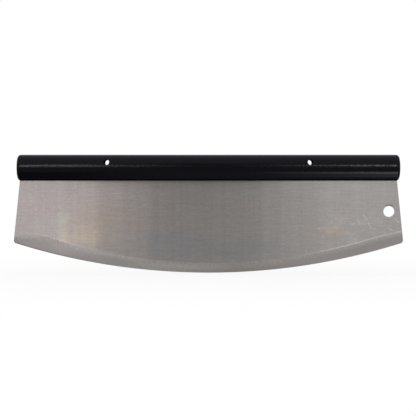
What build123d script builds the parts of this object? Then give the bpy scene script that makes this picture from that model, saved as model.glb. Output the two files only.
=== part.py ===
from build123d import *
import os
from math import sqrt

# Rocking pizza knife: a ground steel plate with a round bar handle moulded onto its tang.
# Lengths are in millimetres. X runs along the handle, Y through the blade and Z up.
# The origin is the lowest point of the cutting edge, in the blade's middle plane.

# Handle, a moulded bar with eased ends
handle_diameter = 23.8
handle_end_round = 2.8
handle_end_margin = 1.8  # how far each end runs past the blade's top corner

# Blade, a stamped plate
blade_span = 356.0  # between the bottom corners, before they are rounded
blade_depth = 84.0  # from the handle's underside to the edge, at mid-length
blade_thickness = 1.5
side_splay = 5.7  # how far each bottom corner stands out past the top corner
edge_radius = 590.0  # arc of the cutting edge
corner_radius = 2.7
burr_ease = 0.15  # rims of the stamped outline

# Ground band along the edge, alike on both faces, with its height at several places
band_middle = 9.0  # at mid-length
band_left_wide = 13.4  # where the grind line's arc ends, near the left side
band_right_wide = 11.5  # and near the right side
band_left = 5.1  # at the blade's left side
band_right = 9.8  # at its right side
band_run_out = 30.0  # length of the line's flatter ends, in from the sides
honed_height = 0.8
honed_thickness = 0.4
edge_land = 0.1  # thickness that is left at the very edge

# Hanging hole
hang_hole_diameter = 10.0
hang_hole_margin = 10.3  # from its centre to the blade's side
hang_hole_drop = 28.0  # from the handle's underside to its centre
hang_hole_round = 0.4  # eased rims

# Tang, the part of the plate inside the handle
tang_cover = 2.8  # plastic above the tang
tang_inset = 6.0  # each end of the tang, in from the blade's top corner
shoulder_bite = 0.8  # how far the blade's full width runs up into the handle
anchor_slot_length = 28.0
anchor_slot_width = 9.0
anchor_slot_drop = 1.4  # centre line of the slots, below the handle's axis

# Bores that the mould's locating pins leave, right through the handle and the tang
pin_hole_diameter = 5.0
pin_hole_spacing = 185.0
pin_hole_margin = 4.4  # from the tang's top edge to the bores' centre line

overrun = 6.0  # how far construction shapes run past what they cut

bottom_half = blade_span / 2
top_half = bottom_half - side_splay
tang_half = top_half - tang_inset
grind_arc_half = bottom_half - band_run_out
handle_length = 2 * (top_half + handle_end_margin)
handle_radius = handle_diameter / 2
handle_axis = blade_depth + handle_radius
tang_top = handle_axis + handle_radius - tang_cover
pin_hole_height = tang_top - pin_hole_margin


def edge_point(x, inset=0):
    """Point on the cutting edge's arc, or on a line that keeps a steady distance inside it."""
    radius = edge_radius - inset
    return Vector(x, 0, edge_radius - sqrt(radius**2 - x**2))


def side_place(height):
    """Distance of the blade's straight side from the middle, at a height."""
    corner_height = edge_point(bottom_half).Z
    lean = side_splay / (blade_depth - corner_height)
    return bottom_half - lean * (height - corner_height)


def edge_arc(start, end, inset=0):
    places = (start, (start + end) / 2, end)
    return ThreePointArc(*[edge_point(x, inset) for x in places])


def edge_line(inset=0):
    """The edge or a line inside it, in three stretches that match the grind line's."""
    stops = (-bottom_half, -grind_arc_half, grind_arc_half, bottom_half)
    return [edge_arc(start, end, inset) for start, end in zip(stops, stops[1:])]


def grind_line():
    """Line where the grinding starts: an arc, with ends that sweep flatter to the sides."""
    bands = (
        (-bottom_half, band_left),
        (-grind_arc_half, band_left_wide),
        (0, band_middle),
        (grind_arc_half, band_right_wide),
        (bottom_half, band_right),
    )
    points = [edge_point(x) + Vector(0, 0, height) for x, height in bands]
    left_end, left_knee, lowest, right_knee, right_end = points
    middle = ThreePointArc(left_knee, lowest, right_knee)
    left = TangentArc(left_knee, left_end, tangent=-(middle % 0))
    right = TangentArc(right_knee, right_end, tangent=middle % 1)
    return [left, middle, right]


def steel_sheet(line, depth):
    """Face at a depth through the blade, from a lower line out past the plate all round."""
    corners = Wire(line).vertices().sort_by(Axis.X)
    left = corners[0].center()
    right = corners[-1].center()
    reach = max(top_half, bottom_half) + overrun
    ceiling = tang_top + overrun
    outside = [
        (reach, 0, right.Z),
        (reach, 0, ceiling),
        (-reach, 0, ceiling),
        (-reach, 0, left.Z),
    ]
    rest = Polyline(right, *outside, left)
    return Pos(0, depth, 0) * Face(Wire([*line, *rest.edges()]))


def ground_section():
    """Everything that the grinding leaves: full thickness above, down to the edge's land."""
    half_depths = (
        (grind_line(), blade_thickness / 2),
        (edge_line(honed_height), honed_thickness / 2),
        (edge_line(), edge_land / 2),
    )
    front = [steel_sheet(line, -depth) for line, depth in half_depths]
    back = [steel_sheet(line, depth) for line, depth in reversed(half_depths)]
    return loft([*front, *back], ruled=True)


def plate_outline():
    """Outline of the stamped plate: edge arc, splayed sides, shoulders and tang."""
    shoulder_height = blade_depth + shoulder_bite
    right_side = [
        edge_point(bottom_half),
        Vector(side_place(shoulder_height), 0, shoulder_height),
        Vector(tang_half, 0, shoulder_height),
        Vector(tang_half, 0, tang_top),
    ]
    left_side = [Vector(-p.X, 0, p.Z) for p in reversed(right_side)]
    sides = Polyline(*right_side, *left_side)
    outline = Face(Wire([edge_arc(-bottom_half, bottom_half), *sides.edges()]))
    lower_corners = outline.vertices().sort_by(Axis.Z)[:2]
    return outline.fillet_2d(corner_radius, lower_corners)


def cross_bore(diameter, x, height):
    """Round cutter through the knife's thickness."""
    reach = handle_diameter + 2 * overrun
    return Pos(x, 0, height) * Cylinder(diameter / 2, reach, rotation=(90, 0, 0))


def pin_bores():
    places = (-pin_hole_spacing / 2, pin_hole_spacing / 2)
    return [cross_bore(pin_hole_diameter, x, pin_hole_height) for x in places]


def anchor_slots():
    """Cutters for the tang's slots: one pair inside the bores and one pair outside them."""
    slot = SlotOverall(anchor_slot_length, anchor_slot_width)
    cutter = Rot(90, 0, 0) * extrude(slot, amount=overrun, both=True)
    inner = pin_hole_spacing / 4
    outer = (pin_hole_spacing / 2 + tang_half) / 2
    height = handle_axis - anchor_slot_drop
    return [Pos(x, 0, height) * cutter for x in (-outer, -inner, inner, outer)]


def make_blank():
    """The stamped plate before grinding, with its rims eased and its holes punched."""
    blank = extrude(plate_outline(), amount=blade_thickness / 2, dir=(0, 1, 0), both=True)
    rims = [face.outer_wire().edges() for face in blank.faces().filter_by(Axis.Y)]
    blank = chamfer([edge for rim in rims for edge in rim], burr_ease)
    hole_height = blade_depth - hang_hole_drop
    hole_x = side_place(hole_height) - hang_hole_margin
    blank -= cross_bore(hang_hole_diameter, hole_x, hole_height)
    holes = [face.inner_wires() for face in blank.faces().filter_by(Axis.Y)]
    blank = fillet([edge for hole in holes for edge in hole.edges()], hang_hole_round)
    for cutter in [*pin_bores(), *anchor_slots()]:
        blank -= cutter
    return blank


def make_handle(blade):
    """The moulded bar, which closes on the tang and fills its slots."""
    bar = Cylinder(handle_radius, handle_length, rotation=(0, 90, 0))
    bar = Pos(0, 0, handle_axis) * fillet(bar.edges().filter_by(GeomType.CIRCLE), handle_end_round)
    handle = bar - blade
    for bore in pin_bores():
        handle -= bore
    return handle


blade = make_blank() & ground_section()
handle = make_handle(blade)

os.makedirs("parts", exist_ok=True)
for name, piece in {"blade": blade, "handle": handle}.items():
    export_step(piece, f"parts/{name}.step")
    print(name, "solids", len(piece.solids()), "volume", round(piece.volume))
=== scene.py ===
from math import asin, atan2, copysign, pi, radians, sqrt

import bpy
from mathutils import Matrix, Vector


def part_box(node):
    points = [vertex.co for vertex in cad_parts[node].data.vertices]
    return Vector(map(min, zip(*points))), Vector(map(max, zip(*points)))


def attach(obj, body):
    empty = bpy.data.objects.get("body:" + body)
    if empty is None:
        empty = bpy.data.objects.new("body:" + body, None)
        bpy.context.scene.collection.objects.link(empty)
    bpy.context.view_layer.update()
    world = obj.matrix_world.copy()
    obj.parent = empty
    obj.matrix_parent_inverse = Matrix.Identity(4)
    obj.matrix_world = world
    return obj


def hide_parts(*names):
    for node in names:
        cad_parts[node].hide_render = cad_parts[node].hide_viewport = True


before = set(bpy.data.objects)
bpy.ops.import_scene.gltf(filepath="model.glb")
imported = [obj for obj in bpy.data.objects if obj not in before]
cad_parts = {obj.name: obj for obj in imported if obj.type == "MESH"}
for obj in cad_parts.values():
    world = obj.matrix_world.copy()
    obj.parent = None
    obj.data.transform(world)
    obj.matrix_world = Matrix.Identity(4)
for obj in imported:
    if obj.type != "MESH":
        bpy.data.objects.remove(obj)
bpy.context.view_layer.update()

# Blade. One plate of stainless steel, stamped out, brushed along its length, then ground on
# both faces along the curved edge and honed. It is drawn flat, thickened, and intersected
# with what the grinding wheels leave. Its top is the tang that the handle is moulded on.
handle_radius = 0.0119
blade_depth = 0.084
handle_axis = blade_depth + handle_radius
plate_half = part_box("blade")[1][1]
tang_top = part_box("blade")[1][2]
bottom_half = 0.178
side_splay = 0.0057
top_half = bottom_half - side_splay
tang_half = top_half - 0.006
shoulder = blade_depth + 0.0008
edge_radius = 0.59
edge_steps = 128
corner_cut = 0.0022
burr_ease = 0.00015
hang_hole_radius = 0.005
hang_hole_height = blade_depth - 0.028
hang_hole_margin = 0.0103
hang_hole_ease = 0.0004
pin_hole_radius = 0.0025
pin_hole_place = 0.0925
pin_hole_height = tang_top - 0.0044
slot_half_length = 0.014
slot_radius = 0.0045
slot_height = handle_axis - 0.0014


def deselect_all():
    bpy.ops.object.select_all(action="DESELECT")


def select_where(mesh, kind, wanted):
    """In edit mode, selects only the vertices, edges or faces for which wanted is true."""
    bpy.ops.mesh.select_mode(type=kind)
    bpy.ops.mesh.select_all(action="DESELECT")
    bpy.ops.object.mode_set(mode="OBJECT")
    parts = {"VERT": mesh.vertices, "EDGE": mesh.edges, "FACE": mesh.polygons}[kind]
    for part in parts:
        part.select = wanted(part)
    bpy.ops.object.mode_set(mode="EDIT")


def settle(piece):
    """Puts the piece's place and turn into its mesh."""
    bpy.context.view_layer.objects.active = piece
    deselect_all()
    piece.select_set(True)
    bpy.ops.object.transform_apply(location=True, rotation=True, scale=True)


def boolean(piece, other, operation, keep=False):
    """Cuts the other shape from the piece, or keeps what they share."""
    bpy.context.view_layer.objects.active = piece
    change = piece.modifiers.new(operation, "BOOLEAN")
    change.object = other
    change.operation = operation
    change.solver = "EXACT"
    bpy.ops.object.modifier_apply(modifier=change.name)
    if not keep:
        bpy.data.objects.remove(other)


def punch(piece, radius, x, z, half_length=0, sides=96):
    """A round hole or a round-ended slot through the knife's thickness."""
    deselect_all()
    bpy.ops.mesh.primitive_cylinder_add(
        vertices=sides, radius=radius, depth=0.1, location=(x, 0, z), rotation=(pi / 2, 0, 0)
    )
    tool = bpy.context.object
    settle(tool)
    for vertex in tool.data.vertices:
        if half_length and abs(vertex.co.x - x) > radius / sides:
            vertex.co.x += copysign(half_length - radius, vertex.co.x - x)
    boolean(piece, tool, "DIFFERENCE")


def edge_height(x):
    return edge_radius - sqrt(edge_radius**2 - x**2)


def side_place(z):
    """Distance of the blade's straight side from the middle, at a height."""
    corner = edge_height(bottom_half)
    return bottom_half - side_splay * (z - corner) / (blade_depth - corner)


# The outline is drawn from the left corner along the edge, and up round the tang.
deselect_all()
bpy.ops.mesh.primitive_plane_add()
blade = bpy.context.object
blade.name = "steel_blade"
blade.data.name = "steel_blade"
bpy.ops.object.mode_set(mode="EDIT")
bpy.ops.mesh.merge(type="CENTER")
bpy.ops.transform.translate(value=(-bottom_half, -plate_half, edge_height(bottom_half)))
bpy.ops.mesh.spin(
    steps=edge_steps,
    angle=2 * asin(bottom_half / edge_radius),
    center=(0, -plate_half, edge_radius),
    axis=(0, 1, 0),
)
shoulder_half = side_place(shoulder)
corners = [
    (bottom_half, edge_height(bottom_half)),
    (shoulder_half, shoulder),
    (tang_half, shoulder),
    (tang_half, tang_top),
    (-tang_half, tang_top),
    (-tang_half, shoulder),
    (-shoulder_half, shoulder),
    (-bottom_half, edge_height(bottom_half)),
]
for (x, z), (next_x, next_z) in zip(corners, corners[1:]):
    stroke = (next_x - x, 0, next_z - z)
    bpy.ops.mesh.extrude_vertices_move(TRANSFORM_OT_translate={"value": stroke})
bpy.ops.mesh.select_all(action="SELECT")
bpy.ops.mesh.remove_doubles(threshold=0.00001)
bpy.ops.mesh.edge_face_add()
select_where(blade.data, "VERT", lambda v: abs(abs(v.co.x) - bottom_half) < 0.00001)
bpy.ops.mesh.bevel(offset=corner_cut, segments=12, affect="VERTICES")
bpy.ops.mesh.select_all(action="SELECT")
bpy.ops.mesh.extrude_region_move(TRANSFORM_OT_translate={"value": (0, 2 * plate_half, 0)})
bpy.ops.mesh.select_all(action="SELECT")
bpy.ops.mesh.normals_make_consistent(inside=False)
select_where(blade.data, "FACE", lambda f: abs(f.normal.y) > 0.9)
bpy.ops.mesh.region_to_loop()
bpy.ops.mesh.bevel(offset=burr_ease, segments=1)
bpy.ops.object.mode_set(mode="OBJECT")
settle(blade)

# Its holes are punched, and the hanging hole's rims are eased.
hang_hole_place = side_place(hang_hole_height) - hang_hole_margin
punch(blade, hang_hole_radius, hang_hole_place, hang_hole_height)


def on_hang_hole_rim(edge):
    first, last = [blade.data.vertices[v].co for v in edge.vertices]
    reach = Vector((first.x - hang_hole_place, first.z - hang_hole_height)).length
    return abs(reach - hang_hole_radius) < 0.00001 and abs(first.y - last.y) < plate_half


bpy.ops.object.mode_set(mode="EDIT")
select_where(blade.data, "EDGE", on_hang_hole_rim)
bpy.ops.mesh.bevel(offset=hang_hole_ease, segments=4)
bpy.ops.object.mode_set(mode="OBJECT")
inner_slot = pin_hole_place / 2
outer_slot = (pin_hole_place + tang_half) / 2
for side in (-1, 1):
    punch(blade, pin_hole_radius, side * pin_hole_place, pin_hole_height)
    for place in (inner_slot, outer_slot):
        punch(blade, slot_radius, side * place, slot_height, slot_half_length, sides=48)

# Both faces are ground: an eight-cornered bar, long past both sides, gets the grinding's shape.
band_middle = 0.009
band_left_wide = 0.0134
band_right_wide = 0.0115
band_left = 0.0051
band_right = 0.0098
band_run_out = 0.03
knee = bottom_half - band_run_out
honed_height = 0.0008
honed_half = 0.0002
land_half = 0.00005
overrun = 0.006
left_end, left_knee, lowest, right_knee, right_end = [
    Vector((x, edge_height(x) + band))
    for x, band in (
        (-bottom_half, band_left),
        (-knee, band_left_wide),
        (0, band_middle),
        (knee, band_right_wide),
        (bottom_half, band_right),
    )
]


def arc_centre(start, end, spoke):
    """Centre, on a spoke through the start, of the arc from the start to the end."""
    chord = end - start
    return start + spoke * chord.length_squared / (2 * chord.dot(spoke))


# The line's middle is the arc through its lowest point and both knees. Its ends bend away
# from that arc without a corner, so their centres lie on the spokes through the knees.
legs = Matrix((left_knee - lowest, right_knee - lowest))
squares = Vector((legs[0].length_squared, legs[1].length_squared))
middle_centre = lowest + legs.inverted() @ squares / 2
left_centre = arc_centre(left_knee, left_end, left_knee - middle_centre)
right_centre = arc_centre(right_knee, right_end, right_knee - middle_centre)


def grind_height(x):
    """Height of the line where the grinding starts."""
    if x < -knee:
        centre, place = left_centre, left_knee
    elif x > knee:
        centre, place = right_centre, right_knee
    else:
        centre, place = middle_centre, lowest
    rise = sqrt((place - centre).length_squared - (x - centre.x) ** 2)
    return centre.y + copysign(rise, place.y - centre.y)


deselect_all()
bpy.ops.mesh.primitive_cylinder_add(vertices=8, radius=0.01, depth=2, rotation=(0, pi / 2, 0))
grinding = bpy.context.object
settle(grinding)
grinding.rotation_euler.x = pi / 8
settle(grinding)
bpy.ops.object.mode_set(mode="EDIT")
select_where(
    grinding.data,
    "EDGE",
    lambda e: abs(sum(grinding.data.vertices[v].co.x for v in e.vertices)) < 0.1,
)
bpy.ops.mesh.subdivide(number_cuts=edge_steps - 1)
bpy.ops.object.mode_set(mode="OBJECT")
overcut = 1.25
for vertex in grinding.data.vertices:
    x = vertex.co.x * (bottom_half + overrun)
    honed = Vector((honed_half, edge_radius - sqrt((edge_radius - honed_height) ** 2 - x**2)))
    land = honed.lerp(Vector((land_half, edge_height(x))), overcut)
    ground = honed.lerp(Vector((plate_half, grind_height(x))), overcut)
    above = Vector((ground.x, tang_top + overrun))
    corner = round(atan2(abs(vertex.co.y), -vertex.co.z) / (pi / 4) - 0.5)
    depth, height = (land, honed, ground, above)[corner]
    vertex.co = (x, copysign(depth, vertex.co.y), height)
boolean(blade, grinding, "INTERSECT")


def tidy_mesh(piece):
    """Merges stray doubles and sets the piece's faces outwards."""
    bpy.context.view_layer.objects.active = piece
    bpy.ops.object.mode_set(mode="EDIT")
    bpy.ops.mesh.select_all(action="SELECT")
    bpy.ops.mesh.remove_doubles(threshold=0.000002)
    bpy.ops.mesh.normals_make_consistent(inside=False)
    bpy.ops.object.mode_set(mode="OBJECT")


tidy_mesh(blade)

# The brushing and the grinding follow a map of the blade's faces, in tenths of a metre.
along_blade = blade.data.uv_layers.new(name="along_blade")
for loop in blade.data.loops:
    place = blade.data.vertices[loop.vertex_index].co
    along_blade.data[loop.index].uv = (place.x * 10, place.z * 10)


def add_node(tree, kind, inputs, output=0, **options):
    """Adds a node, sets its options, fills or links its inputs, and returns one output."""
    made = tree.nodes.new("ShaderNode" + kind)
    for option, value in options.items():
        setattr(made, option, value)
    for socket, value in inputs.items():
        if isinstance(value, bpy.types.NodeSocket):
            tree.links.new(value, made.inputs[socket])
        else:
            made.inputs[socket].default_value = value
    return made.outputs[output]


def work_out(tree, operation, *values, **options):
    return add_node(tree, "Math", dict(enumerate(values)), operation=operation, **options)


def ramp(tree, value, start, end, low=0.0, high=1.0):
    """Runs smoothly from low to high while the value goes from start to end."""
    inputs = {0: value, 1: start, 2: end, 3: low, 4: high}
    return add_node(tree, "MapRange", inputs, interpolation_type="SMOOTHSTEP")


def stepped(tree, value, stops):
    """Runs smoothly through a list of places from 0 to 1, each with its colour."""
    colour = add_node(tree, "ValToRGB", {0: value})
    steps = colour.node.color_ramp
    steps.interpolation = "EASE"
    for _ in stops[2:]:
        steps.elements.new(0.5)
    for element, (place, level) in zip(steps.elements, stops):
        element.position = place
        element.color = (*level, 1)
    return colour


def toned(tree, tone, value, start, end, low, high):
    """Multiplies a tone or a mask by a ramp."""
    return work_out(tree, "MULTIPLY", tone, ramp(tree, value, start, end, low, high))


def scaled(tree, colour, tone):
    return add_node(tree, "VectorMath", {0: colour, "Scale": tone}, operation="SCALE")


def over(tree, mask, under, colour):
    """Lays a colour over another through a mask."""
    return add_node(tree, "Mix", {0: mask, 6: under, 7: colour}, output=2, data_type="RGBA")


def tinted(tree, colour, mask, tint):
    """Multiplies a colour by a tint through a mask."""
    inputs = {0: mask, 6: colour, 7: tint}
    return add_node(tree, "Mix", inputs, output=2, data_type="RGBA", blend_type="MULTIPLY")


def new_group(name, inputs, output):
    """A shader node group with named inputs and one output, and its two end nodes."""
    group = bpy.data.node_groups.new(name, "ShaderNodeTree")
    for socket, kind in inputs.items():
        group.interface.new_socket(socket, in_out="INPUT", socket_type="NodeSocket" + kind)
    group.interface.new_socket(output, in_out="OUTPUT", socket_type="NodeSocketFloat")
    return group, group.nodes.new("NodeGroupInput").outputs, group.nodes.new("NodeGroupOutput")


def use_group(tree, group, inputs):
    return add_node(tree, "Group", inputs, node_tree=group)


def new_material(name):
    """An empty material: its tree, its shader and the place on the piece that it is read at."""
    material = bpy.data.materials.new(name)
    material.use_nodes = True
    tree = material.node_tree
    shader = tree.nodes["Principled BSDF"]
    place = add_node(tree, "TexCoord", {}, output=3)
    return material, tree, shader, place


# Streaks: fine lines of one length and width, as brushing, grinding and moulding leave them.
streaks, given, result = new_group("streaks", {"Place": "Vector", "Spacing": "Vector"}, "Streaks")
spread = {0: given["Place"], 1: given["Spacing"]}
spread = add_node(streaks, "VectorMath", spread, operation="DIVIDE")
lines = {"Vector": spread, "Scale": 1.0, "Detail": 2.0, "Roughness": 0.6}
lines = add_node(streaks, "TexNoise", lines)
streaks.links.new(lines, result.inputs[0])

# Patch: a soft-edged stain of one size, its outline made uneven.
inputs = {"Place": "Vector", "Middle": "Vector", "Size": "Vector"}
patch, given, result = new_group(
    "patch", {**inputs, "Uneven": "Float", "Softness": "Float"}, "Patch"
)
offset = {0: given["Place"], 1: given["Middle"]}
offset = add_node(patch, "VectorMath", offset, operation="SUBTRACT")
share = add_node(patch, "VectorMath", {0: offset, 1: given["Size"]}, operation="DIVIDE")
reach = add_node(patch, "VectorMath", {0: share}, output=1, operation="LENGTH")
wander = add_node(patch, "TexNoise", {"Vector": given["Place"], "Scale": 90.0, "Detail": 3.0})
wander = work_out(patch, "SUBTRACT", wander, 0.5)
reach = work_out(patch, "MULTIPLY_ADD", wander, given["Uneven"], reach)
inner = work_out(patch, "SUBTRACT", 1.0, given["Softness"])
patch.links.new(ramp(patch, reach, inner, 1.0, 1.0, 0.0), result.inputs[0])

# Scratch: a short hairline from one point to another.
scratch, given, result = new_group(
    "scratch", {"Place": "Vector", "Start": "Vector", "End": "Vector", "Width": "Float"}, "Scratch"
)
line = add_node(scratch, "VectorMath", {0: given["End"], 1: given["Start"]}, operation="SUBTRACT")
offset = {0: given["Place"], 1: given["Start"]}
offset = add_node(scratch, "VectorMath", offset, operation="SUBTRACT")
along = add_node(scratch, "VectorMath", {0: offset, 1: line}, output=1, operation="DOT_PRODUCT")
length = add_node(scratch, "VectorMath", {0: line, 1: line}, output=1, operation="DOT_PRODUCT")
along = work_out(scratch, "DIVIDE", along, length, use_clamp=True)
nearest = add_node(scratch, "VectorMath", {0: line, "Scale": along}, operation="SCALE")
away = add_node(scratch, "VectorMath", {0: offset, 1: nearest}, operation="SUBTRACT")
away = add_node(scratch, "VectorMath", {0: away}, output=1, operation="LENGTH")
scratch.links.new(ramp(scratch, away, 0.0, given["Width"], 1.0, 0.0), result.inputs[0])

# Above grind: height over the line where the grinding starts, from whichever of its arcs.
above_grind, given, result = new_group("above_grind", {"Place": "Vector"}, "Height")
across = add_node(above_grind, "SeparateXYZ", {0: given["Place"]})
flat = add_node(above_grind, "VectorMath", {0: given["Place"], 1: (1, 0, 1)}, operation="MULTIPLY")
heights = []
arcs = ((left_centre, left_knee), (middle_centre, lowest), (right_centre, right_knee))
for centre, start in arcs:
    inputs = {0: flat, 1: (centre.x, 0, centre.y)}
    reach = add_node(above_grind, "VectorMath", inputs, output=1, operation="DISTANCE")
    inwards = work_out(above_grind, "SUBTRACT", (start - centre).length, reach)
    heights.append(work_out(above_grind, "MULTIPLY", inwards, copysign(1, centre.y - start.y)))
at_left = work_out(above_grind, "LESS_THAN", across, -knee)
at_right = work_out(above_grind, "GREATER_THAN", across, knee)
height = add_node(above_grind, "Mix", {0: at_left, 2: heights[1], 3: heights[0]})
height = add_node(above_grind, "Mix", {0: at_right, 2: height, 3: heights[2]})
above_grind.links.new(height, result.inputs[0])

# Steel of the flat faces: brushed along the blade, with stains from heat and from use, and with
# painted reflection and painted shade.
steel_colour = (0.56, 0.525, 0.5)
brushed_roughness = 0.21
across_to_along = 0.25  # a quarter turn of the brushing
stroke_depth = 0.0001
face_steel, tree, shader, place = new_material("brushed_face")
long_streaks = use_group(tree, streaks, {"Place": place, "Spacing": (0.03, 0.01, 0.0012)})
fine_streaks = use_group(tree, streaks, {"Place": place, "Spacing": (0.005, 0.01, 0.0008)})
presses = use_group(tree, streaks, {"Place": place, "Spacing": (0.006, 0.01, 0.3)})
mottle = use_group(tree, streaks, {"Place": place, "Spacing": (0.002, 0.01, 0.0016)})
tone = ramp(tree, long_streaks, 0.3, 0.7, 0.965, 1.035)
tone = toned(tree, tone, fine_streaks, 0.3, 0.7, 0.96, 1.04)
tone = toned(tree, tone, presses, 0.3, 0.7, 0.975, 1.025)
tone = toned(tree, tone, mottle, 0.3, 0.7, 0.97, 1.03)
x_y_z = add_node(tree, "SeparateXYZ", {0: place}).node.outputs

# Painted reflection: the steel's tone changes in soft steps along the blade, where the studio's
# bands would mirror in it.
reflection_steps = (
    (-0.107, -0.095, 1.05, 0.97),
    (-0.061, -0.049, 1.02, 0.96),
    (0.044, 0.054, 0.98, 1.02),
    (0.09, 0.11, 0.98, 1.03),
)
for start, end, before, after in reflection_steps:
    tone = toned(tree, tone, x_y_z[0], start, end, before, after)
colour = scaled(tree, steel_colour, tone)

# Stains on the front face, each with its middle, half size, unevenness and tint. The first two are
# painted reflection, wide changes of tone at the left: darker at the top and lighter lower down.
tint_patch_softness = 0.8
stains_and_painted_reflection = (
    ((-0.14, 0.079), (0.06, 0.022), 0.3, (0.91, 0.945, 0.94, 1)),
    ((-0.135, 0.038), (0.055, 0.022), 0.5, (1.05, 1.08, 1.07, 1)),
    ((-0.155, 0.058), (0.03, 0.02), 1.0, (1.0, 0.985, 0.995, 1)),
    ((-0.133, 0.05), (0.009, 0.009), 0.8, (1.04, 1.11, 1.1, 1)),
    ((-0.134, 0.037), (0.008, 0.014), 0.8, (1.09, 1.12, 1.11, 1)),
    ((-0.105, 0.047), (0.05, 0.022), 1.5, (1.03, 0.98, 0.93, 1)),
    ((-0.113, 0.033), (0.034, 0.012), 1.6, (1.1, 1.06, 0.99, 1)),
    ((-0.125, 0.029), (0.04, 0.009), 0.5, (1.07, 1.07, 1.06, 1)),
    ((-0.105, 0.033), (0.012, 0.005), 1.5, (1.01, 0.995, 0.98, 1)),
    ((-0.067, 0.041), (0.014, 0.006), 1.5, (1.02, 0.99, 0.95, 1)),
    ((-0.035, 0.026), (0.055, 0.02), 1.2, (0.93, 0.96, 1.01, 1)),
    ((0.03, 0.022), (0.06, 0.018), 1.2, (0.92, 0.95, 0.98, 1)),
    ((0.043, 0.075), (0.014, 0.012), 1.0, (0.96, 1.0, 0.98, 1)),
    ((0.112, 0.037), (0.02, 0.012), 2.0, (1.02, 0.96, 0.91, 1)),
    ((0.12, 0.036), (0.008, 0.005), 1.5, (1.0, 0.98, 0.96, 1)),
)
for (x, z), (half_wide, half_tall), unevenness, tint in stains_and_painted_reflection:
    inputs = {
        "Place": place,
        "Middle": (x, -plate_half, z),
        "Size": (half_wide, plate_half, half_tall),
        "Uneven": unevenness,
        "Softness": tint_patch_softness,
    }
    colour = tinted(tree, colour, use_group(tree, patch, inputs), tint)

# Short scratches and specks at the hanging hole's end, each from one end to the other.
scratches = (
    ((0.1461, 0.0455), (0.1483, 0.0409)),
    ((0.1413, 0.0524), (0.1431, 0.0508)),
    ((0.1438, 0.0497), (0.145, 0.0486)),
    ((0.1695, 0.0495), (0.1744, 0.0458)),
    ((0.1632, 0.0408), (0.1641, 0.0412)),
    ((0.1641, 0.0412), (0.165, 0.0407)),
    ((0.165, 0.0407), (0.1654, 0.0395)),
    ((0.1495, 0.0404), (0.1499, 0.0401)),
    ((0.1514, 0.0403), (0.1522, 0.0399)),
    ((0.153, 0.0401), (0.1536, 0.0398)),
    ((0.1654, 0.0397), (0.1695, 0.0385)),
    ((0.1712, 0.0381), (0.1751, 0.0372)),
    ((0.0832, 0.0483), (0.0838, 0.048)),
    ((0.1009, 0.0407), (0.1013, 0.0402)),
    ((0.1013, 0.0402), (0.1008, 0.0399)),
    ((0.1042, 0.0333), (0.105, 0.0329)),
    ((0.1025, 0.0487), (0.1027, 0.0485)),
    ((0.1164, 0.0495), (0.1166, 0.0493)),
    ((0.1217, 0.0564), (0.1222, 0.0562)),
    ((0.1253, 0.0564), (0.126, 0.0562)),
    ((0.1335, 0.0455), (0.1338, 0.0452)),
    ((0.1291, 0.0467), (0.1294, 0.0465)),
    ((0.1389, 0.0425), (0.1393, 0.0421)),
    ((0.1409, 0.0381), (0.1412, 0.0379)),
    ((0.1303, 0.0324), (0.1306, 0.0322)),
    ((0.1564, 0.0589), (0.1567, 0.0587)),
)
scratch_width = 0.0007
lines = []
for (x, z), (end_x, end_z) in scratches:
    inputs = {
        "Place": place,
        "Start": (x, -plate_half, z),
        "End": (end_x, -plate_half, end_z),
        "Width": scratch_width,
    }
    lines.append(use_group(tree, scratch, inputs))
marks = lines[0]
for line in lines[1:]:
    marks = work_out(tree, "MAXIMUM", marks, line)
colour = tinted(tree, colour, marks, (1.32, 1.33, 1.34, 1))

# Clouds of fine pale specks lie round them.
specks = use_group(tree, streaks, {"Place": place, "Spacing": (0.0009, 0.01, 0.0009)})
specks = ramp(tree, specks, 0.58, 0.66)
speck_clouds = ((0.127, 0.0372), (0.15, 0.0455), (0.118, 0.0455))
for x, z in speck_clouds:
    inputs = {
        "Place": place,
        "Middle": (x, -plate_half, z),
        "Size": (0.014, plate_half, 0.009),
        "Uneven": 5.0,
        "Softness": 0.6,
    }
    cloud = use_group(tree, patch, inputs)
    colour = tinted(tree, colour, cloud, (1.05, 1.05, 1.05, 1))
    speckled = work_out(tree, "MULTIPLY", cloud, specks)
    colour = tinted(tree, colour, speckled, (1.2, 1.24, 1.28, 1))

# Painted shade darkens the steel just under the handle, most just left of the middle. The steel is
# also darker over the top of the hanging hole.
shade_place = -0.03
from_shade_place = work_out(tree, "ABSOLUTE", work_out(tree, "SUBTRACT", x_y_z[0], shade_place))
near_middle = ramp(tree, from_shade_place, 0.05, 0.12, 1.0, 0.15)
for reach, darkest in ((0.003, 0.7), (0.012, 0.88)):
    seam_shade = ramp(tree, x_y_z[2], blade_depth - reach, blade_depth)
    seam_shade = work_out(tree, "MULTIPLY", seam_shade, near_middle)
    colour = tinted(tree, colour, seam_shade, (darkest, darkest, darkest, 1))
# Darker over the top of the hanging hole.
hole_top_dark = {
    "Middle": (hang_hole_place + 0.0003, 0, hang_hole_height + hang_hole_radius + 0.0002),
    "Size": (0.0045, 1, 0.0013),
    "Uneven": 0.3,
    "Softness": 0.5,
}
hole_top_mask = use_group(tree, patch, {"Place": place, **hole_top_dark})
colour = tinted(tree, colour, hole_top_mask, (0.4, 0.4, 0.4, 1))
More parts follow.
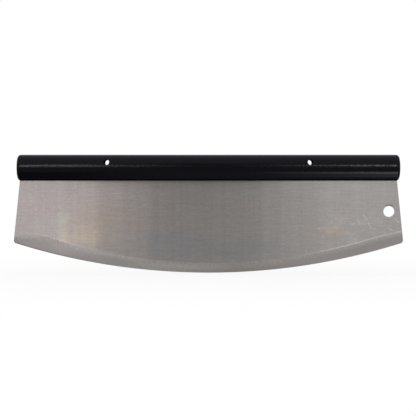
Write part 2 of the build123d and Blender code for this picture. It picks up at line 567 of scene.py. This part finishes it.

# Painted highlights mark the grinding's start: a light line at the right and a fainter one at the
# left, where it stands a little over the grinding and is torn into dark teeth for a stretch.
height = use_group(tree, above_grind, {"Place": place})
line = ramp(tree, work_out(tree, "ABSOLUTE", height), 0.0003, 0.0016, 1.0, 0.0)
line = toned(tree, line, x_y_z[0], 0.06, 0.13, 0.0, 1.0)
line = toned(tree, line, x_y_z[0], 0.135, 0.165, 1.0, 0.65)
colour = tinted(tree, colour, line, (1.42, 1.42, 1.42, 1))
left_line_rise = 0.0007
left_line = work_out(tree, "ABSOLUTE", work_out(tree, "SUBTRACT", height, left_line_rise))
left_line = ramp(tree, left_line, 0.0002, 0.0014, 1.0, 0.0)
left_line = toned(tree, left_line, x_y_z[0], -0.1, -0.07, 1.0, 0.0)
left_line = toned(tree, left_line, x_y_z[0], -0.17, -0.145, 0.3, 1.0)
colour = tinted(tree, colour, left_line, (1.13, 1.12, 1.11, 1))
teeth = use_group(tree, streaks, {"Place": place, "Spacing": (0.0007, 0.01, 0.01)})
tooth_height = ramp(tree, teeth, 0.44, 0.56, -0.0008, 0.001)
torn = ramp(tree, work_out(tree, "SUBTRACT", height, tooth_height), -0.0004, 0.0003, 1.0, 0.0)
torn = toned(tree, torn, x_y_z[0], -0.158, -0.148, 0.0, 1.0)
torn = toned(tree, torn, x_y_z[0], -0.136, -0.126, 1.0, 0.0)
colour = tinted(tree, colour, torn, (0.68, 0.68, 0.68, 1))
bump = add_node(tree, "Bump", {"Strength": 0.1, "Distance": stroke_depth, "Height": fine_streaks})


def dress_metal(tree, shader, colour, roughness):
    tree.links.new(colour, shader.inputs["Base Color"])
    shader.inputs["Metallic"].default_value = 1.0
    shader.inputs["Roughness"].default_value = roughness


def dress_strokes(tree, shader, bump, turn):
    """Strokes that stretch the steel's reflections, turned from across the blade."""
    tree.links.new(bump, shader.inputs["Normal"])
    shader.inputs["Anisotropic"].default_value = 0.95
    shader.inputs["Anisotropic Rotation"].default_value = turn
    tangent = add_node(tree, "Tangent", {}, direction_type="UV_MAP", uv_map="along_blade")
    tree.links.new(tangent, shader.inputs["Tangent"])


dress_metal(tree, shader, colour, brushed_roughness)
dress_strokes(tree, shader, bump, across_to_along)

# Steel of the ground bands: the wheel's strokes run across the band, towards the edge.
ground_roughness = 0.32
band_steel, tree, shader, place = new_material("ground_band")
strokes = use_group(tree, streaks, {"Place": place, "Spacing": (0.0008, 0.01, 0.004)})
mottle = use_group(tree, streaks, {"Place": place, "Spacing": (0.0015, 0.01, 0.0012)})
height = use_group(tree, above_grind, {"Place": place})
across = add_node(tree, "SeparateXYZ", {0: place})
tone = ramp(tree, strokes, 0.3, 0.7, 0.95, 1.05)
tone = toned(tree, tone, mottle, 0.3, 0.7, 0.965, 1.035)
# Painted reflection: the band is lightest a little in from its left end and darkens in steps
# towards the middle and right.
tone = toned(tree, tone, across, -0.155, -0.13, 1.33, 1.58)
tone = toned(tree, tone, across, -0.11, -0.075, 1.0, 0.84)
tone = toned(tree, tone, across, -0.02, 0.03, 0.98, 0.76)

# The honed strip along the edge is finer, and a painted highlight makes it brighter.
from_centre = {0: place, 1: (0, 0, edge_radius)}
from_centre = add_node(tree, "VectorMath", from_centre, output=1, operation="DISTANCE")
honed_line = edge_radius - honed_height
tone = toned(tree, tone, from_centre, honed_line - 0.0003, honed_line + 0.0001, 1.0, 1.16)

# Painted reflection: the top of the band is lighter or darker than the rest from place to place
# along it.
top_levels = (
    (-0.162, 1.25),
    (-0.142, 0.98),
    (-0.117, 1.06),
    (-0.08, 1.18),
    (-0.046, 0.87),
    (-0.015, 0.79),
    (0.02, 0.89),
    (0.065, 1.07),
    (0.1, 1.14),
    (0.14, 1.24),
)
level_span = 0.4
top_levels = [(x / level_span + 0.5, (level,) * 3) for x, level in top_levels]
share = work_out(tree, "MULTIPLY_ADD", across, 1 / level_span, 0.5)
top_level = stepped(tree, share, top_levels)
top_level = work_out(tree, "SUBTRACT", top_level, 1.0)
top_level = work_out(tree, "ADD", top_level, ramp(tree, strokes, 0.35, 0.65, -0.08, 0.08))
at_top = ramp(tree, height, -0.005, -0.0005)
tone = work_out(tree, "MULTIPLY", tone, work_out(tree, "MULTIPLY_ADD", at_top, top_level, 1.0))
colour = scaled(tree, steel_colour, tone)
bump = add_node(tree, "Bump", {"Strength": 0.12, "Distance": stroke_depth, "Height": strokes})
dress_metal(tree, shader, colour, ground_roughness)
dress_strokes(tree, shader, bump, 0.0)

# Steel of the stamped rims, the holes' walls and the land at the edge.
rim_roughness = 0.4
rim_steel, tree, shader, place = new_material("stamped_rim")
torn = add_node(tree, "TexNoise", {"Vector": place, "Scale": 2500.0, "Detail": 3.0})
tone = ramp(tree, torn, 0.3, 0.7, 0.8, 1.1)
colour = scaled(tree, steel_colour, tone)
# The same darkening over the top of the hanging hole as on the face.
hole_top_mask = use_group(tree, patch, {"Place": place, **hole_top_dark})
colour = tinted(tree, colour, hole_top_mask, (0.25, 0.25, 0.25, 1))
dress_metal(tree, shader, colour, rim_roughness)

# Each face gets its steel by how squarely it faces the front or the back.
flat_facing = 0.9999
ground_facing = 0.97
for steel in (face_steel, band_steel, rim_steel):
    blade.data.materials.append(steel)
for face in blade.data.polygons:
    facing = abs(face.normal.y)
    face.material_index = 0 if facing > flat_facing else 1 if facing > ground_facing else 2
    face.use_smooth = face.material_index == 2

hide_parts("blade")
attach(blade, "root")


# Handle. A solid bar of black plastic, injection moulded round the tang, which fills the
# tang's slots. Its ends are eased, and two bores are left by the pins that held the plate.
handle_half = top_half + 0.0018
handle_end_ease = 0.0028
end_loop_place = handle_half - 1.2 * handle_end_ease
handle_sides = 160
deselect_all()
bpy.ops.mesh.primitive_cylinder_add(
    vertices=handle_sides,
    radius=handle_radius,
    depth=2 * handle_half,
    location=(0, 0, handle_axis),
    rotation=(0, pi / 2, 0),
)
handle = bpy.context.object
handle.name = "black_bar_handle"
handle.data.name = "black_bar_handle"
settle(handle)
bpy.ops.object.mode_set(mode="EDIT")
select_where(handle.data, "FACE", lambda f: abs(f.normal.x) > 0.9)
bpy.ops.mesh.region_to_loop()
bpy.ops.mesh.bevel(offset=handle_end_ease, segments=8)
for side in (-1, 1):
    bpy.ops.mesh.select_all(action="SELECT")
    bpy.ops.mesh.bisect(plane_co=(side * end_loop_place, 0, 0), plane_no=(1, 0, 0))
bpy.ops.object.mode_set(mode="OBJECT")
for side in (-1, 1):
    punch(handle, pin_hole_radius, side * pin_hole_place, pin_hole_height)
boolean(handle, blade, "DIFFERENCE", keep=True)
tidy_mesh(handle)
deselect_all()
handle.select_set(True)
bpy.ops.object.shade_smooth_by_angle(angle=radians(30))

# Plastic: glossy, with a fine unevenness along the bar that breaks up the lines of light.
plastic_colour = (0.0012, 0.0008, 0.0032)
plastic_roughness = 0.12
plastic_specular = 0.14
ripple_depth = 0.0002
plastic, tree, shader, place = new_material("black_plastic")
beads = use_group(tree, streaks, {"Place": place, "Spacing": (0.0022, 0.0012, 0.0012)})
drawn = use_group(tree, streaks, {"Place": place, "Spacing": (0.02, 0.0008, 0.0008)})
height = work_out(tree, "MULTIPLY_ADD", drawn, 0.5, beads)
bump = add_node(tree, "Bump", {"Strength": 0.4, "Distance": ripple_depth, "Height": height})
grain = ramp(tree, beads, 0.35, 0.65, 0.5, 1.5)
colour = scaled(tree, plastic_colour, grain)
tree.links.new(colour, shader.inputs["Base Color"])
tree.links.new(bump, shader.inputs["Normal"])
shader.inputs["Roughness"].default_value = plastic_roughness
shader.inputs["Specular IOR Level"].default_value = plastic_specular
handle.data.materials.append(plastic)

# The bores' walls and the strip that closes on the blade are dull, as the mould leaves them.
dull_colour = (0.003, 0.003, 0.003)
dull_roughness = 0.9
underside_facing = -0.88
dull_plastic, tree, shader, place = new_material("dull_bore")
worn = add_node(tree, "TexNoise", {"Vector": place, "Scale": 1500.0, "Detail": 3.0})
tone = ramp(tree, worn, 0.3, 0.7, 0.8, 1.2)
colour = scaled(tree, dull_colour, tone)
tree.links.new(colour, shader.inputs["Base Color"])
shader.inputs["Roughness"].default_value = dull_roughness
shader.inputs["Specular IOR Level"].default_value = 0.0
handle.data.materials.append(dull_plastic)
for face in handle.data.polygons:
    by_bore = abs(abs(face.center.x) - pin_hole_place) < pin_hole_radius
    in_bore = by_bore and abs(face.normal.y) < 0.01
    face.material_index = 1 if in_bore or face.normal.z < underside_facing else 0

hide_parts("handle")
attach(handle, "root")

# Floor. Pale and plain: white where the camera sees it, apart from the knife's soft shadow, and
# duller where the knife mirrors it, with a painted shadow there near the knife.
floor_reach = 3.0
floor_drop = 0.00005
floor_colour = (0.85, 0.85, 0.85, 1)
floor_roughness = 0.9
shadow_core = 0.1
shadow_reach = 0.5
shadow_white = 0.88  # how far the floor's own light hides the shadow's core
deselect_all()
bpy.ops.mesh.primitive_plane_add(size=2 * floor_reach, location=(0, 0, -floor_drop))
floor = bpy.context.object
floor.name = "floor"
settle(floor)
floor_finish, tree, shader, place = new_material("pale_floor")
shader.inputs["Base Color"].default_value = floor_colour
shader.inputs["Roughness"].default_value = floor_roughness
rays = tree.nodes.new("ShaderNodeLightPath").outputs
glossy = rays["Is Glossy Ray"]
x_y_z = add_node(tree, "SeparateXYZ", {0: place}).node.outputs
out_from_knife = work_out(tree, "ABSOLUTE", x_y_z[1])
open_floor = 0.45  # its level in a mirror, away from the knife
# Painted shadow in the mirrored floor: darker near the knife, most at its left.
mirrored = ramp(tree, x_y_z[0], -0.16, -0.04, 0.2, 0.46)
mirrored = ramp(tree, x_y_z[0], -0.3, -0.22, open_floor, mirrored)
mirrored = ramp(tree, out_from_knife, 0.09, 0.15, mirrored, open_floor)
mirrored = toned(tree, mirrored, out_from_knife, 0.0, 0.05, 0.7, 1.0)
strength = add_node(tree, "Mix", {0: glossy, 2: 1.0, 3: mirrored})
white = add_node(tree, "Emission", {"Color": (1, 1, 1, 1), "Strength": strength})
away = add_node(tree, "VectorMath", {0: place}, output=1, operation="LENGTH")
whiteness = ramp(tree, away, shadow_core, shadow_reach, shadow_white, 1.0)
whiteness = work_out(tree, "MAXIMUM", whiteness, glossy)
seen = work_out(tree, "MAXIMUM", rays["Is Camera Ray"], rays["Is Transmission Ray"])
seen = work_out(tree, "MAXIMUM", seen, glossy)
whiteness = work_out(tree, "MULTIPLY", whiteness, seen)
mixed = add_node(tree, "MixShader", {0: whiteness, 1: shader.outputs[0], 2: white})
tree.links.new(mixed, tree.nodes["Material Output"].inputs["Surface"])
floor.data.materials.append(floor_finish)

# Background. White to the camera. In the knife it mirrors as a pale studio, whose side behind
# the camera is dim in the middle, where the blade's middle mirrors it.
studio_turn = radians(10)
overhead_colour = (0.9, 0.9, 0.95, 1)
behind_colour = (0.68, 0.67, 0.72, 1)
room_colour = (0.6, 0.6, 0.6, 1)  # what lights the dull surfaces
studio_levels = (  # each level's turn from the camera's side in degrees, and its colour
    (-8.5, (0.97, 0.9, 0.93)),
    (-6.0, (1.2, 1.1, 1.12)),
    (-4.2, (0.62, 0.58, 0.57)),
    (-2.3, (0.24, 0.24, 0.24)),
    (1.6, (0.26, 0.265, 0.265)),
    (2.8, (0.48, 0.49, 0.49)),
    (6.0, (0.88, 0.89, 0.89)),
    (8.5, (0.72, 0.73, 0.73)),
)
world = bpy.data.worlds.new("studio")
bpy.context.scene.world = world
world.use_nodes = True
tree = world.node_tree
direction = add_node(tree, "TexCoord", {}, output=0)
x_y_z = add_node(tree, "SeparateXYZ", {0: direction}).node.outputs
turn = work_out(tree, "ARCTAN2", x_y_z[0], work_out(tree, "MULTIPLY", x_y_z[1], -1.0))
level_place = work_out(tree, "ARCSINE", x_y_z[2])
turned = ramp(tree, turn, -studio_turn, studio_turn)
turned.node.interpolation_type = "LINEAR"
levels = [((radians(degrees) / studio_turn + 1) / 2, level) for degrees, level in studio_levels]
reflected = stepped(tree, turned, levels)
overhead = ramp(tree, level_place, radians(32), radians(42))
reflected = over(tree, overhead, reflected, overhead_colour)
behind = ramp(tree, x_y_z[1], -0.05, 0.4)
reflected = over(tree, behind, reflected, behind_colour)
rays = tree.nodes.new("ShaderNodeLightPath").outputs
seen = work_out(tree, "MAXIMUM", rays["Is Camera Ray"], rays["Is Transmission Ray"])
level = over(tree, seen, room_colour, (1, 1, 1, 1))
level = over(tree, rays["Is Glossy Ray"], level, reflected)
tree.links.new(level, tree.nodes["Background"].inputs["Color"])


def softbox(name, place, aim, size, radiance, fade=0, inner_end=0):
    """A rectangular lamp at a place, turned to its aim, that only the camera doesn't see.

    With a fade, it is darkest at its inner end, 0 for the left one and 1 for the right one.
    """
    lamp = bpy.data.lights.new(name, "AREA")
    lamp.shape = "RECTANGLE"
    lamp.size, lamp.size_y = size
    lamp.energy = radiance * pi * size[0] * size[1]
    box = bpy.data.objects.new(name, lamp)
    bpy.context.scene.collection.objects.link(box)
    box.location = place
    box.rotation_euler = (Vector(aim) - Vector(place)).to_track_quat("-Z", "Y").to_euler()
    box.visible_camera = False
    if fade:
        lamp.use_nodes = True
        tree = lamp.node_tree
        along = add_node(tree, "NewGeometry", {}, output=5)
        along = add_node(tree, "SeparateXYZ", {0: along})
        along = work_out(tree, "ABSOLUTE", work_out(tree, "SUBTRACT", along, inner_end))
        strength = work_out(tree, "POWER", along, fade)
        tree.links.new(strength, tree.nodes["Emission"].inputs["Strength"])
    return box


# Light. One wide softbox overhead. The handle alone gets a strip on each side of the camera,
# whose reflection is the upper line along it, and two low ones for the lower line at the right.
strip_distance = 1.2
strip_length = 0.4
overhead = softbox("top_light", (-0.2, 0.3, 1.6), (0, 0, 0), (1.2, 1.2), 2.0)
overhead.visible_glossy = False
strips = (  # name, place along the bar, rise over it, height, radiance, fade and inner end
    ("left_strip", -0.2, 0.325, 0.27, 10.0, 1.8, 1),
    ("right_strip", 0.2, 0.38, 0.17, 17.0, 2.8, 0),
)
handle_only = bpy.data.collections.new("handle_only")
handle_only.objects.link(handle)
for name, strip_x, strip_rise, strip_height, radiance, fade, inner_end in strips:
    strip_place = (strip_x, -strip_distance, handle_axis + strip_rise)
    aim = (strip_x, 0, handle_axis)
    size = (strip_length, strip_height)
    strip = softbox(name, strip_place, aim, size, radiance, fade, inner_end)
    strip.light_linking.receiver_collection = handle_only
low_strip_x = 0.12
low_strip_length = 0.18
low_strip_fade = 1.5
low_strips = (  # name, place in front of the blade, height above the edge, height and radiance
    ("low_strip", -0.071, 0.0257, 0.024, 6.4),
    ("low_fill", -0.03, 0.012, 0.06, 1.4),
)
for name, strip_y, strip_z, strip_height, radiance in low_strips:
    strip_place = (low_strip_x, strip_y, strip_z)
    aim = (low_strip_x, 0, handle_axis)
    size = (low_strip_length, strip_height)
    strip = softbox(name, strip_place, aim, size, radiance, low_strip_fade)
    strip.light_linking.receiver_collection = handle_only

# Camera. Level, square to the blade and well back, as the photograph was taken.
camera_distance = 1.2
camera_x = -0.0004
camera_height = 0.0591
frame_width = 0.3802
lens = bpy.data.cameras.new("camera")
lens.sensor_width = 36
lens.lens = lens.sensor_width * camera_distance / frame_width
lens.clip_end = 20
camera = bpy.data.objects.new("camera", lens)
camera.location = (camera_x, -camera_distance, camera_height)
camera.rotation_euler = (pi / 2, 0, 0)
bpy.context.scene.collection.objects.link(camera)
bpy.context.scene.camera = camera
bpy.context.scene.view_settings.view_transform = "Standard"
